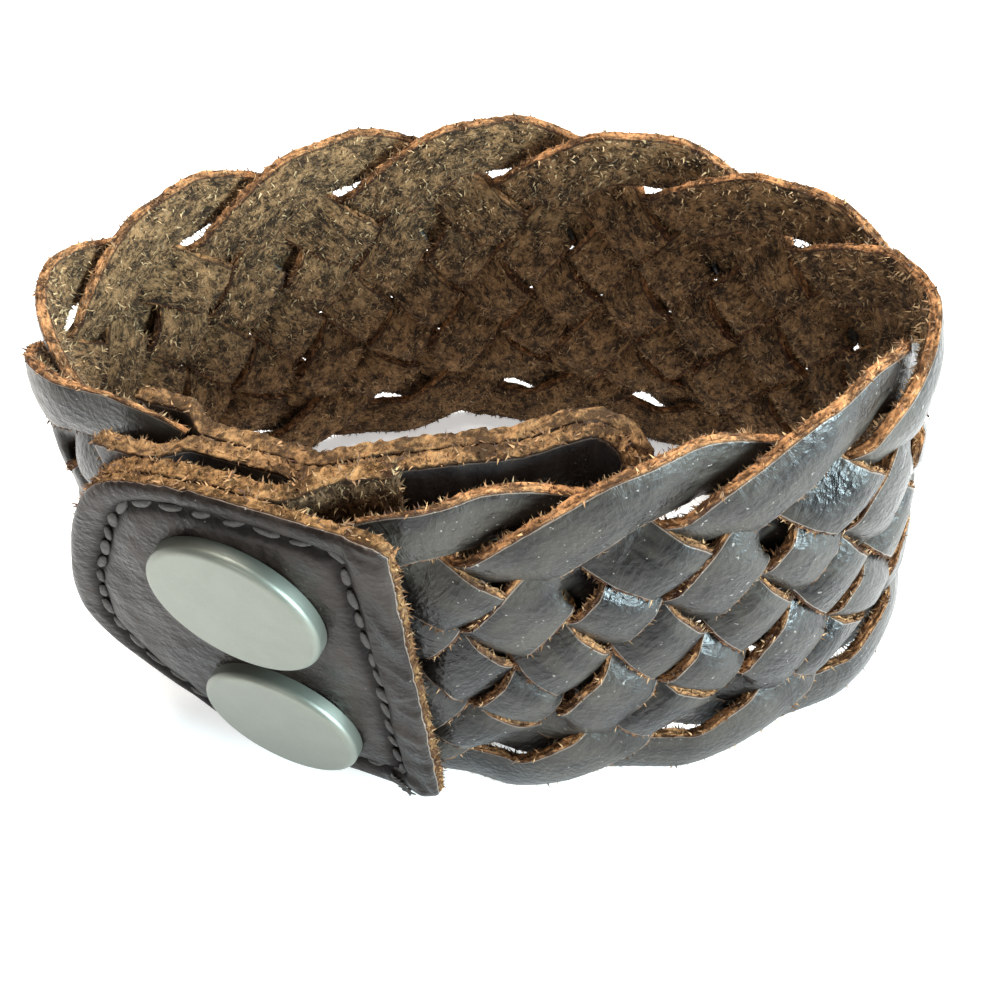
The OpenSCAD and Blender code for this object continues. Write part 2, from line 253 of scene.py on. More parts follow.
class Board:
    """A node tree that is being filled."""

    def __init__(self, tree):
        self.tree = tree

    def node(self, kind, settings=None, sockets=None, out=0):
        made = self.tree.nodes.new(kind)
        for name, value in (settings or {}).items():
            setattr(made, name, value)
        for name, value in (sockets or {}).items():
            if isinstance(value, Wire):
                self.tree.links.new(value.socket, made.inputs[name])
            else:
                made.inputs[name].default_value = value
        return Wire(self, made, out)

    def attribute(self, name, kind="FLOAT"):
        return self.node("GeometryNodeInputNamedAttribute", {"data_type": kind}, {"Name": name})

    def turned(self, rotation, angles):
        """A rotation turned on by angles about its own axes."""
        by = self.node("FunctionNodeEulerToRotation", {}, {"Euler": angles})
        return self.node("FunctionNodeRotateRotation", {"rotation_space": "LOCAL"},
                         {"Rotation": rotation, "Rotate By": by})

    def painted(self, name, out="Fac"):
        return self.node("ShaderNodeAttribute", {"attribute_name": name}).out(out)

    def stored(self, geometry, name, kind, value):
        return self.node("GeometryNodeStoreNamedAttribute", {"data_type": kind, "domain": "POINT"},
                         {"Geometry": geometry, "Name": name, "Value": value})

    def finish(self, colour, roughness, **others):
        """The surface of a material, from its colour and its other values."""
        sockets = {"Base Color": colour, "Roughness": roughness}
        sockets.update({name.replace("_", " "): value for name, value in others.items()})
        shader = self.node("ShaderNodeBsdfPrincipled", {}, sockets)
        self.node("ShaderNodeOutputMaterial", {}, {"Surface": shader})

    def mixed(self, factor, a, b):
        a, b = [v if isinstance(v, Wire) else (*v, 1) for v in (a, b)]
        return self.node("ShaderNodeMix", {"data_type": "RGBA"}, {0: factor, 6: a, 7: b}, out=2)

    def noise(self, at, scale, detail=2.0, roughness=0.5, distortion=0.0):
        sockets = {"Vector": at, "Scale": scale, "Detail": detail, "Roughness": roughness,
                   "Distortion": distortion}
        return self.node("ShaderNodeTexNoise", {}, sockets)


def new_material(name):
    material = bpy.data.materials.new(name)
    material.use_nodes = True
    material.node_tree.nodes.clear()
    return material, Board(material.node_tree)


def leather(name, grain_dark, grain_light, cut_dark, cut_light, suede_dark, suede_light,
            shine, wrinkle, stretch):
    """Waxed leather: grain, cut edge and suede by the piece's own attributes, all in one skin.

    laid is the place on the flat leather in metres, face is 1 on the grain and 0 on the suede,
    cut is 1 on a cut edge, and painted_groove_shade is 1 where shade is painted along the tab's
    stitched groove.
    """
    material, b = new_material(name)
    laid = b.painted("laid", "Vector")
    face, cut, painted_groove_shade = b.painted("face"), b.painted("cut"), b.painted("painted_groove_shade")
    place = b.node("ShaderNodeTexCoord").out("Object")

    ragged = b.noise(laid, 900, 3)
    edge = (cut + (ragged - 0.5) * 0.5).between(0.35, 0.6)
    back = (1 - face + (ragged - 0.5) * 0.3).between(0.4, 0.6)

    mottle = b.noise(place, 110, 4, 0.65)
    rubbed = b.noise(laid.times((1, 1, 0.25)), 420, 4, 0.65)
    scuff = (rubbed * 0.45 + mottle * 0.55).between(0.42, 0.62)
    grain = b.mixed(scuff, grain_dark, grain_light)
    rim = cut.between(0.02, 0.3) * (1 - cut.between(0.3, 0.5))
    grain = b.mixed(rim * 0.55, grain, (0.30, 0.22, 0.17))
    specks = b.noise(laid, 2600, 1).between(0.74, 0.78)
    grain = b.mixed(specks * 0.5, grain, (0.35, 0.32, 0.28))
    # painted shade: the grain is darkened nearly to black along the tab's stitched groove
    grain = b.mixed(painted_groove_shade * 0.9, grain, (0.004, 0.003, 0.003))

    crumbs = b.noise(laid, 1500, 4, 0.75)
    clumps = b.noise(place, 330, 3, 0.6)
    crumbled = crumbs * 0.7 + clumps * 0.5 - 0.1
    raw = b.mixed(crumbled.between(0.44, 0.74), cut_dark, cut_light)
    # painted light: cut edges that face up get a brighter, more contrasted colour, as if lit from above
    painted_light_from_above = b.node("ShaderNodeNewGeometry").out("Normal").parts()[2].between(0.25, 0.85)
    wear_and_top_light_colours = [0.16 * c for c in cut_light], [1.5 * c for c in cut_light]
    raw = b.mixed(painted_light_from_above * 0.85, raw, b.mixed(crumbled.between(0.40, 0.68), *wear_and_top_light_colours))
    seam = cut.between(0.35, 0.55) * (1 - cut.between(0.6, 0.9))
    raw = b.mixed(seam * 0.7, raw, (0.03, 0.015, 0.01))

    fibres = b.noise(laid.times((1, 1, 0.6)), 2300, 4, 0.7, 1.2)
    tufts = b.noise(laid, 700, 3, 0.6)
    nap = b.mixed((fibres * 0.65 + tufts * 0.45 - 0.05).between(0.4, 0.66), suede_dark, suede_light)

    # painted shade: the suede darkens nearly to black towards its cut edges, in the gaps where strips
    # meet
    nap = b.mixed(cut.between(0.0, 0.3) * 0.75, nap, (0.012, 0.008, 0.005))

    colour = b.mixed(edge, b.mixed(back, grain, nap), raw)
    rough = edge.sum("MAXIMUM", edge, back)
    gloss = 0.3 + (rubbed - 0.5) * 0.4 + scuff * 0.12 + painted_groove_shade * 0.3
    roughness = gloss + rough * (0.95 - gloss)

    pores = b.node("ShaderNodeTexVoronoi", {"feature": "F1"}, {"Vector": laid, "Scale": 1700.0})
    creases = b.noise(laid.times((stretch, 1, 1)), 750, 4, 0.65, 1.0)
    relief = (pores * 0.4 + creases * wrinkle + b.noise(laid, 4200, 2) * 0.25) * (1 - rough)
    relief = relief + (crumbs * 2.2 + fibres * 2.0 + tufts * 1.6) * rough
    bump = b.node("ShaderNodeBump", {}, {"Strength": 0.5, "Distance": 0.0003, "Height": relief})

    b.finish(colour, roughness, Normal=bump, Specular_IOR_Level=shine)
    return material


strip_leather = leather(
    "strip leather",
    grain_dark=(0.006, 0.005, 0.005), grain_light=(0.036, 0.030, 0.024),
    cut_dark=(0.045, 0.016, 0.008), cut_light=(0.42, 0.205, 0.085),
    suede_dark=(0.022, 0.012, 0.006), suede_light=(0.32, 0.18, 0.082),
    shine=0.26, wrinkle=1.3, stretch=0.35,
)


def new_tree(name, sizes):
    """An empty geometry tree that takes a mesh, a seed and named sizes, which may be changed."""
    tree = bpy.data.node_groups.new(name, "GeometryNodeTree")
    tree.interface.new_socket("Geometry", in_out="OUTPUT", socket_type="NodeSocketGeometry")
    tree.interface.new_socket("Geometry", in_out="INPUT", socket_type="NodeSocketGeometry")
    for size, value in sizes.items():
        socket = tree.interface.new_socket(size, in_out="INPUT", socket_type="NodeSocketFloat")
        socket.default_value = value
    tree.interface.new_socket("Seed", in_out="INPUT", socket_type="NodeSocketInt")
    tree.interface.new_socket("Material", in_out="INPUT", socket_type="NodeSocketMaterial")
    b = Board(tree)
    return tree, b, b.node("NodeGroupInput")


def swept_leather():
    """Geometry nodes: a flat strip of leather along a line of points that carry its section."""
    tree, b, given = new_tree("swept leather", {
        "Width": STRIP_W * MM, "Thickness": STRIP_T * MM, "Corner": 0.4 * MM, "Cupping": 0.42 * MM,
        "Rounding": 0.9 * MM, "Taper": 0.05, "Crumble": 0.55 * MM, "Nap": 0.25 * MM,
        "Waviness": 0.25 * MM,
    })
    width, thick = given.out("Width"), given.out("Thickness")
    line = b.node("GeometryNodeMeshToCurve", {}, {"Mesh": given.out("Geometry")})
    sheet = b.node("GeometryNodeCurvePrimitiveQuadrilateral", {}, {"Width": width, "Height": thick})
    rounded = b.node("GeometryNodeFilletCurve", {"mode": "POLY"},
                     {"Curve": sheet, "Count": 3, "Radius": given.out("Corner")})
    section = b.node("GeometryNodeSubdivideCurve", {}, {"Curve": rounded, "Cuts": 3})
    position = b.node("GeometryNodeInputPosition")
    marked = b.stored(section, "section", "FLOAT_VECTOR", position)
    swept = b.node("GeometryNodeCurveToMesh", {},
                   {"Curve": line, "Profile Curve": marked, "Fill Caps": True})

    x, y, _ = b.attribute("section", "FLOAT_VECTOR").parts()
    at, thin = b.attribute("at"), b.attribute("thin")
    half = width * 0.5
    across = x / half
    depth = y / thick + 0.5
    corner = given.out("Corner") / half
    edge = (abs(across) - 1 + corner).between(0, corner * 0.9)
    laid = b.node("ShaderNodeCombineXYZ", {}, {"X": x, "Y": y + given.out("Seed") * 0.05, "Z": at})

    crumbs = b.noise(laid, 1500, 3, 0.7) - 0.5
    tufts = b.noise(laid, 1200, 3, 0.7) - 0.5
    waves = b.noise(laid, 210, 1) - 0.5
    x_new = x + across * edge * crumbs * given.out("Crumble") * 2 + waves * given.out("Waviness")
    x_new = x_new - x * (1 - depth) * given.out("Taper")
    y_new = y * thin + (1 - depth.between(0.2, 0.5)) * tufts * given.out("Nap") * 2
    y_new = y_new - across * across * given.out("Cupping") + given.out("Cupping") * 0.4
    y_new = y_new + (1 - depth) * across * across * given.out("Rounding")
    y_new = y_new + (b.noise(laid, 160, 1) - 0.5) * given.out("Waviness")
    place = b.attribute("centre", "FLOAT_VECTOR")
    place = place.plus(b.attribute("across", "FLOAT_VECTOR").scaled(x_new))
    place = place.plus(b.attribute("outward", "FLOAT_VECTOR").scaled(y_new))
    moved = b.node("GeometryNodeSetPosition", {}, {"Geometry": swept, "Position": place})
    moved = b.stored(moved, "laid", "FLOAT_VECTOR", laid)
    moved = b.stored(moved, "face", "FLOAT", depth)
    moved = b.stored(moved, "cut", "FLOAT", edge)
    smooth = b.node("GeometryNodeSetShadeSmooth", {}, {"Geometry": moved})
    real = b.node("GeometryNodeRealizeInstances", {}, {"Geometry": smooth})
    dressed = b.node("GeometryNodeSetMaterial", {},
                     {"Geometry": real, "Material": given.out("Material")})
    b.node("NodeGroupOutput", {}, {"Geometry": dressed})
    return tree


def set_attribute(mesh, name, kind, values):
    """A value at each point of a mesh; laid, face, cut and painted_groove_shade are kept this way."""
    attribute = mesh.attributes.new(name, kind, "POINT")
    field = "vector" if kind == "FLOAT_VECTOR" else "value"
    attribute.data.foreach_set(field, np.asarray(values, np.float32).ravel())


def grown(name, start, tree, **inputs):
    """The plain mesh that a geometry tree makes of a start mesh, as a new object."""
    seed = bpy.data.objects.new(name + ".start", start)
    bpy.context.scene.collection.objects.link(seed)
    modifier = seed.modifiers.new("grown", "NODES")
    modifier.node_group = tree
    ids = {i.name: i.identifier for i in tree.interface.items_tree if i.in_out == "INPUT"}
    for key, value in inputs.items():
        modifier[ids[key]] = value
    seed.update_tag()
    depsgraph = bpy.context.evaluated_depsgraph_get()
    mesh = bpy.data.meshes.new_from_object(seed.evaluated_get(depsgraph), depsgraph=depsgraph)
    seed.modifiers.remove(modifier)
    bpy.data.objects.remove(seed)
    made = bpy.data.objects.new(name, mesh)
    mesh.name = name
    bpy.context.scene.collection.objects.link(made)
    return made


def drop_path_attributes(mesh):
    for name in ("section", "centre", "across", "outward", "at", "thin"):
        if name in mesh.attributes:
            mesh.attributes.remove(mesh.attributes[name])


def leather_fuzz():
    """Geometry nodes: short fibres standing out of the cut edges and the suede of a leather mesh."""
    tree, b, given = new_tree("leather fuzz", {
        "Per Area": 7e6, "Shortest": 0.2 * MM, "Longest": 0.7 * MM, "Width": 0.34, "Lean": 1.5,
    })
    seed = given.out("Seed")
    cut, face = b.attribute("cut"), b.attribute("face")
    rough = cut.sum("MAXIMUM", cut, 1 - face)
    rough = rough.sum("GREATER_THAN", rough, 0.7)
    bare = b.node("GeometryNodeSeparateGeometry", {"domain": "FACE"},
                  {"Geometry": given.out("Geometry"), "Selection": rough})
    points = b.node("GeometryNodeDistributePointsOnFaces", {"distribute_method": "RANDOM"},
                    {"Mesh": bare, "Density": given.out("Per Area"), "Seed": seed})
    anyway = b.node("FunctionNodeRandomValue", {"data_type": "FLOAT_VECTOR"},
                    {0: (-1.0, -1.0, -1.0), 1: (1.0, 1.0, 1.0), "Seed": seed})
    way = points.out("Normal").plus(anyway.scaled(given.out("Lean")))
    stands = b.node("FunctionNodeAlignRotationToVector", {"axis": "X"}, {"Vector": way})
    roll = b.node("FunctionNodeRandomValue", {"data_type": "FLOAT"},
                  {2: -3.1, 3: 3.1, "Seed": seed}, out=1)
    roll = b.node("ShaderNodeCombineXYZ", {}, {"X": roll})
    stands = b.turned(stands, roll)
    size = b.node("FunctionNodeRandomValue", {"data_type": "FLOAT"},
                  {2: given.out("Shortest"), 3: given.out("Longest"), "Seed": seed}, out=1)
    blade = b.node("GeometryNodeMeshCircle", {"fill_type": "NGON"}, {"Vertices": 3, "Radius": 1.0})
    narrow = b.node("ShaderNodeCombineXYZ", {},
                    {"X": 0.667, "Y": given.out("Width") * 0.577, "Z": 1.0})
    blade = b.node("GeometryNodeTransform", {},
                   {"Geometry": blade, "Translation": (0.333, 0, 0), "Scale": narrow})
    blade = b.node("GeometryNodeSetMaterial", {},
                   {"Geometry": blade, "Material": given.out("Material")})
    fibres = b.node("GeometryNodeInstanceOnPoints", {},
                    {"Points": points, "Instance": blade, "Rotation": stands, "Scale": size})
    real = b.node("GeometryNodeRealizeInstances", {}, {"Geometry": fibres})
    joined = b.node("GeometryNodeJoinGeometry", {}, {0: real})
    tree.links.new(given.out("Geometry").socket, joined.node.inputs[0])
    b.node("NodeGroupOutput", {}, {"Geometry": joined})
    return tree


fibre_hair, b = new_material("leather fibre")
tint = b.noise(b.painted("laid", "Vector"), 1700, 2).between(0.35, 0.7)
back = b.mixed(tint, (0.060, 0.034, 0.016), (0.50, 0.34, 0.175))
rim = b.mixed(tint, (0.06, 0.024, 0.012), (0.46, 0.255, 0.11))
b.finish(b.mixed(b.painted("cut").between(0.4, 0.7), back, rim), 0.75)
fuzz_tree = leather_fuzz()


def fuzzed(name, mesh, seed):
    """The leather mesh with its fibres, as an object of that name."""
    piece = grown(name, mesh, fuzz_tree, Seed=seed, Material=fibre_hair)
    bpy.data.meshes.remove(mesh)
    piece.data.name = name
    return piece


strip_tree = swept_leather()
for k in range(1, 9):
    at, upper, lower, out, thin = strip_path(k)
    line = bpy.data.meshes.new("strip line")
    centre = (upper + lower) / 2 * MM
    line.from_pydata(centre.tolist(), [(i, i + 1) for i in range(len(centre) - 1)], [])
    set_attribute(line, "centre", "FLOAT_VECTOR", centre)
    set_attribute(line, "across", "FLOAT_VECTOR", (upper - lower) / STRIP_W)
    set_attribute(line, "outward", "FLOAT_VECTOR", out)
    set_attribute(line, "at", "FLOAT", at * MM)
    set_attribute(line, "thin", "FLOAT", thin)
    bare = grown("bare strip", line, strip_tree, Seed=k, Material=strip_leather)
    drop_path_attributes(bare.data)
    mesh = bare.data
    bpy.data.objects.remove(bare)
    woven = fuzzed("woven_strip_%d" % k, mesh, k)
    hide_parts("strip_%d" % k)
    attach(woven, "root")


# Front tab
# Two layers of the same leather, cut to one outline and sewn together all round, with a pressed
# groove that the stitches lie in. The inner layer bends in behind the ends of the strips, and the
# two posts of the caps go through both.
TAB_IN = 14.2
TAB_LOW, TAB_HIGH = 2.4, 40.2
CAPS_Z = 19.2
TAB_END = [
    # along, up from the middle of the caps
    (6, -17), (0, -17.4), (-5, -17.3), (-8.6, -15.8), (-11.4, -13.4), (-14, -11), (-16.4, -8.4),
    (-18.3, -5.6), (-19.4, -2), (-18.8, 2.4), (-17.2, 6.8), (-15.2, 11.3), (-13, 15.1),
    (-10.6, 17.9), (-7.6, 19.6), (-3.4, 20.6), (1, 21), (6, 21),
]
TAB_GROOVE = [
    # along, height, from the lower end of the right seam round to its upper end
    (10.6, 5.4), (6, 4.9), (0, 4.6), (-6, 4.9), (-10.1, 6.5), (-11.9, 8.6), (-14.3, 11.2),
    (-15.8, 14.6), (-16.5, 17.4), (-16, 20.5), (-15.1, 23.8), (-12.8, 28.5), (-10.1, 33.4),
    (-7.4, 36.4), (-3.4, 37.5), (0.4, 37.8), (4.1, 37.9), (7.4, 37.9), (10.2, 37.6),
]
TAB_SEAM = [
    (10.2, 37.6), (10.3, 33), (10.4, 28), (10.6, 24), (10.7, 20), (10.5, 14.5), (10.4, 10),
    (10.6, 5.4),
]
TAB_BACK_START = -19.4
TAB_BACK_STRAIGHT = (TAB_BACK_START, -15, -11, -7, -3, 0.7, 4.4)
TAB_BACK_BEND = [(-12.3, -22.65), (-10.2, -21.85), (-8, -21.8), (-5.9, -22.05)]
THREAD_SUNK = 0.55
FIBRE_SEED = 20

raw_hide = {
    "cut_dark": (0.06, 0.026, 0.012), "cut_light": (0.27, 0.148, 0.062),
    "suede_dark": (0.030, 0.016, 0.009), "suede_light": (0.24, 0.145, 0.078),
    "wrinkle": 0.6, "stretch": 0.8,
}
tab_leather = leather(
    "tab leather",
    grain_dark=(0.010, 0.007, 0.006), grain_light=(0.034, 0.026, 0.022), shine=0.09, **raw_hide,
)


def to_line(points, line):
    """Distance of each point from a line of points, all in the flat."""
    best = np.full(len(points), 1e9)
    for a, c in zip(line[:-1], line[1:]):
        d = c - a
        t = np.clip(((points - a) @ d) / (d @ d), 0, 1)
        best = np.minimum(best, np.hypot(*(points - a - t[:, None] * d).T))
    return best


def slab(name, outline, grid):
    """A flat piece of leather cut to an outline, in millimetres, as an even mesh of small faces.

    With it come the places of its points, how far each lies from the outline, and how near it is
    to the front face, from 0 at the back to 1.
    """
    mesh = bpy.data.meshes.new(name)
    n = len(outline)
    corners = [(x, z, d) for d in (0.0, -LEATHER_T) for x, z in outline]
    faces = [tuple(range(n)), tuple(range(2 * n - 1, n - 1, -1))]
    faces += [(i, n + i, n + (i + 1) % n, (i + 1) % n) for i in range(n)]
    mesh.from_pydata(corners, [], faces)
    rough = bpy.data.objects.new(name, mesh)
    bpy.context.scene.collection.objects.link(rough)
    remesh = rough.modifiers.new("even", "REMESH")
    remesh.mode = "VOXEL"
    remesh.voxel_size = grid
    depsgraph = bpy.context.evaluated_depsgraph_get()
    even = bpy.data.meshes.new_from_object(rough.evaluated_get(depsgraph), depsgraph=depsgraph)
    bpy.data.objects.remove(rough)
    points = np.empty(len(even.vertices) * 3)
    even.vertices.foreach_get("co", points)
    points = points.reshape(-1, 3)
    inset = to_line(points[:, :2], np.vstack([outline, outline[:1]]))
    return even, points, inset, np.clip(1 + points[:, 2] / LEATHER_T, 0, 1)


def lumps(points, size, seed):
    """Smooth random field between -1 and 1 over points, with bumps of a size."""
    rng = np.random.default_rng(seed)
    out = np.zeros(len(points))
    for _ in range(14):
        d = rng.normal(size=points.shape[1])
        d *= rng.uniform(0.6, 1.4) / np.linalg.norm(d) * 2 * math.pi / size
        out += np.sin(points @ d + rng.uniform(0, 6.28))
    return np.clip(out / 4, -1, 1)


def tab_outline(end):
    """The tab's outline, cut off straight at an end."""
    return np.vstack([end_curve, [(end, TAB_HIGH), (end, TAB_LOW)]])


def rounded_outline(points, radius, steps=10):
    """The outline with its two right-hand corners rounded."""
    p = points.tolist()
    out = p[:-2]
    for corner, before, after in ((p[-2], p[-3], p[-1]), (p[-1], p[-2], p[0])):
        c, u, v = np.array(corner), np.array(before) - corner, np.array(after) - corner
        u, v = u / np.linalg.norm(u), v / np.linalg.norm(v)
        for t in np.linspace(0, 1, steps):
            out.append(tuple(c + radius * ((1 - t) ** 2 * u + t**2 * v)))
    return np.array(out)


def place_on_tab(points):
    """From along, height and distance out of the tab's outer face to the row frame, in metres."""
    flat = (SNAP_FACE - FOOTPRINT_MID) + points[:, :1] * SNAP_DIR - points[:, 2:] * SNAP_IN
    return np.column_stack([flat, points[:, 1]]) * MM


def leather_piece(name, mesh, placed, laid, face, cut, material, node):
    """A leather mesh at its place, with its fibres, standing for a CAD node."""
    mesh.vertices.foreach_set("co", placed.ravel())
    set_attribute(mesh, "laid", "FLOAT_VECTOR", laid[:, [0, 2, 1]] * MM)
    set_attribute(mesh, "face", "FLOAT", face)
    set_attribute(mesh, "cut", "FLOAT", cut)
    mesh.materials.clear()
    mesh.materials.append(material)
    mesh.name = name
    mesh.shade_smooth()
    mesh.update()
    piece = fuzzed(name, mesh, FIBRE_SEED)
    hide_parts(node)
    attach(piece, "root")
    return piece


def sewn_thread():
    """Geometry nodes: short thick stitches along a line of points that carry the way out."""
    tree, b, given = new_tree("sewn thread", {
        "Pitch": 2.7 * MM, "Length": 2.3 * MM, "Thickness": 0.85 * MM, "Slant": 0.25, "Fuzz": 0.12 * MM,
    })
    length, thick, seed = given.out("Length"), given.out("Thickness"), given.out("Seed")
    line = b.node("GeometryNodeMeshToCurve", {}, {"Mesh": given.out("Geometry")})
    evenly = b.node("GeometryNodeResampleCurve", {"mode": "LENGTH"},
                    {"Curve": line, "Length": given.out("Pitch")})
    tangent = b.node("GeometryNodeInputTangent")
    out = b.attribute("outward", "FLOAT_VECTOR")
    lies = b.node("FunctionNodeAlignRotationToVector", {"axis": "X"}, {"Vector": tangent})
    lies = b.node("FunctionNodeAlignRotationToVector", {"axis": "Z", "pivot_axis": "X"},
                  {"Rotation": lies, "Vector": out})
    low = b.node("ShaderNodeCombineXYZ", {}, {"X": length * 0.8, "Y": thick * 0.75, "Z": thick * 0.5})
    high = b.node("ShaderNodeCombineXYZ", {}, {"X": length * 1.12, "Y": thick * 1.2, "Z": thick * 0.85})
    size = b.node("FunctionNodeRandomValue", {"data_type": "FLOAT_VECTOR"},
                  {0: low, 1: high, "Seed": seed})
    swing = b.node("FunctionNodeRandomValue", {"data_type": "FLOAT"},
                   {2: given.out("Slant") * -0.6, 3: given.out("Slant") * 1.6, "Seed": seed}, out=1)
    lies = b.turned(lies, b.node("ShaderNodeCombineXYZ", {}, {"Z": swing}))
    bead = b.node("GeometryNodeMeshIcoSphere", {}, {"Radius": 0.5, "Subdivisions": 3})
    bead = b.node("GeometryNodeSetMaterial", {},
                  {"Geometry": bead, "Material": given.out("Material")})
    placed = b.node("GeometryNodeInstanceOnPoints", {},
                    {"Points": evenly, "Instance": bead, "Rotation": lies, "Scale": size})
    real = b.node("GeometryNodeRealizeInstances", {}, {"Geometry": placed})
    position = b.node("GeometryNodeInputPosition")
    rough = (b.noise(position, 1900, 3, 0.7) - 0.5) * given.out("Fuzz") * 2
    normal = b.node("GeometryNodeInputNormal")
    moved = b.node("GeometryNodeSetPosition", {}, {"Geometry": real, "Offset": normal.scaled(rough)})
    smooth = b.node("GeometryNodeSetShadeSmooth", {}, {"Geometry": moved})
    b.node("NodeGroupOutput", {}, {"Geometry": smooth})
    return tree


def sew(name, points, out, slot, **inputs):
    """Stitches along points, in metres, with the direction out of the leather at each."""
    line = bpy.data.meshes.new(name)
    line.from_pydata(np.asarray(points).tolist(), [(i, i + 1) for i in range(len(points) - 1)], [])
    set_attribute(line, "outward", "FLOAT_VECTOR", out)
    piece = grown(name, line, thread_tree, Material=waxed_thread, **inputs)
    drop_path_attributes(piece.data)
    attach(piece, "root")
    return piece


waxed_thread, b = new_material("waxed thread")
place = b.node("ShaderNodeTexCoord").out("Object")
fibre = b.noise(place, 2600, 3, 0.7)
colour = b.mixed(fibre.between(0.35, 0.75), (0.008, 0.006, 0.005), (0.045, 0.035, 0.028))
bump = b.node("ShaderNodeBump", {}, {"Strength": 0.6, "Distance": 0.00015, "Height": fibre})
b.finish(colour, 0.6, Normal=bump)
thread_tree = sewn_thread()

end_curve = through([(a, z + CAPS_Z) for a, z in TAB_END], 8)
groove = through(TAB_GROOVE, 8)
seam = through(TAB_SEAM, 8)
sewn = np.vstack([groove, seam[1:]])

mesh, p, inset, depth = slab("sewn_tab_front", rounded_outline(tab_outline(TAB_IN), 1.6), 0.26)
groove_d = to_line(p[:, :2], sewn)
cut = ease(1 - inset / 0.55) * ease((0.93 - depth) / 0.25)
top = ease((depth - 0.5) / 0.5)
edge_round = 0.55 * (1 - np.sqrt(np.clip(1 - (1 - np.clip(inset / 0.9, 0, 1)) ** 2, 0, 1)))
crumbs = lumps(p, 0.9, 3) * 0.12 + lumps(p, 0.5, 4) * 0.07
q = p.copy()
pressed = 0.5 * np.exp(-(groove_d / 0.5) ** 2) + 0.22 * np.exp(-(groove_d / 1.5) ** 2)
q[:, 2] -= top * (edge_round + pressed)
q[:, 2] += top * (0.1 * lumps(p[:, :2], 9, 5) + 0.035 * lumps(p[:, :2], 2.2, 6)) * ease(inset / 2)
flange = ease((p[:, 0] - 10.7) / 0.8)
ripples = np.sin((p[:, 1] + p[:, 0] * 1.3) * 1.1 + 2 * lumps(p[:, :2], 6, 9))
q[:, 2] += top * flange * (0.25 + 0.12 * ripples)
q[:, 0] += cut * crumbs
q[:, 1] += cut * crumbs * 1.2
# painted shade in and beside the stitched groove, on the front face only
set_attribute(mesh, "painted_groove_shade", "FLOAT", np.exp(-(groove_d / 0.8) ** 2) * top)
leather_piece("sewn_tab_front", mesh, place_on_tab(q), p, depth, cut, tab_leather, "tab_outer")

layer_mid = SNAP_FACE + (1.5 * LEATHER_T + LAYER_GAP) * SNAP_IN
back_points = [tuple(layer_mid + a * SNAP_DIR) for a in TAB_BACK_STRAIGHT] + TAB_BACK_BEND
back_route = through(back_points, 12)
back_at = along(back_route) + TAB_BACK_START


def on_tab_back(at):
    return np.column_stack([np.interp(at, back_at, back_route[:, i]) for i in (0, 1)])


mesh, p, inset, depth = slab("sewn_tab_back", tab_outline(TAB_IN + 1.2), 0.34)
cut = ease(1 - inset / 0.5) * (1 - ease((p[:, 0] - 12) / 2))
crumbs = lumps(p, 0.9, 13) * 0.13 + lumps(p, 0.5, 14) * 0.08
q = p.copy()
q[:, 2] += (1 - depth) * (0.1 * lumps(p, 0.7, 15))
q[:, 0] += cut * crumbs
q[:, 1] += cut * crumbs * 1.3
step = on_tab_back(q[:, 0] + 0.3) - on_tab_back(q[:, 0] - 0.3)
normal = np.column_stack([step[:, 1], -step[:, 0]])
normal /= np.maximum(np.linalg.norm(step, axis=1), 1e-6)[:, None]
flat = on_tab_back(q[:, 0]) + normal * (q[:, 2:] + LEATHER_T / 2) - FOOTPRINT_MID
leather_piece("sewn_tab_back", mesh, np.column_stack([flat, q[:, 1]]) * MM, p,
              np.full(len(p), 0.1), cut, tab_leather, "tab_inner")

stitched = np.column_stack([sewn, np.full(len(sewn), -THREAD_SUNK)])
sew("tab_stitches", place_on_tab(stitched), np.tile([*(-SNAP_IN), 0], (len(sewn), 1)),
    "grain_leather", Seed=3)
tail = np.column_stack([np.linspace(9.6, 11.2, 20), np.linspace(4.6, 2.2, 20), np.full(20, 0.15)])
sew("thread_tail", place_on_tab(tail), np.tile([*(-SNAP_IN), 0], (len(tail), 1)), "grain_leather",
    Seed=5, Pitch=0.22 * MM, Length=1.5 * MM, Thickness=0.3 * MM, Slant=1.6)


# Tongue
# Two layers of leather behind the tab, sewn over the strips' other ends. It carries the studs and
# reaches on behind the band's front, where its free end bends with it.
TONGUE_LOW, TONGUE_HIGH = 1.5, BAND_H - 1.5
TONGUE_CORNER = 5
SEAM_INSET = 2.4
tongue_leather = leather(
    "tongue leather",
    grain_dark=(0.022, 0.020, 0.022), grain_light=(0.06, 0.054, 0.054), shine=0.25, **raw_hide,
)
weave_lift = (STRIP_T + WEAVE_GAP) / 2
pocket_half = 0.7 * (weave_lift + STRIP_T / 2) + 0.35


def opened_by(s):
    """How far a layer of the tongue stands from its middle: more where it holds the strips."""
    return LAYER_GAP / 2 + pocket_half * ease((band_to + 3.4 - s) / 3)


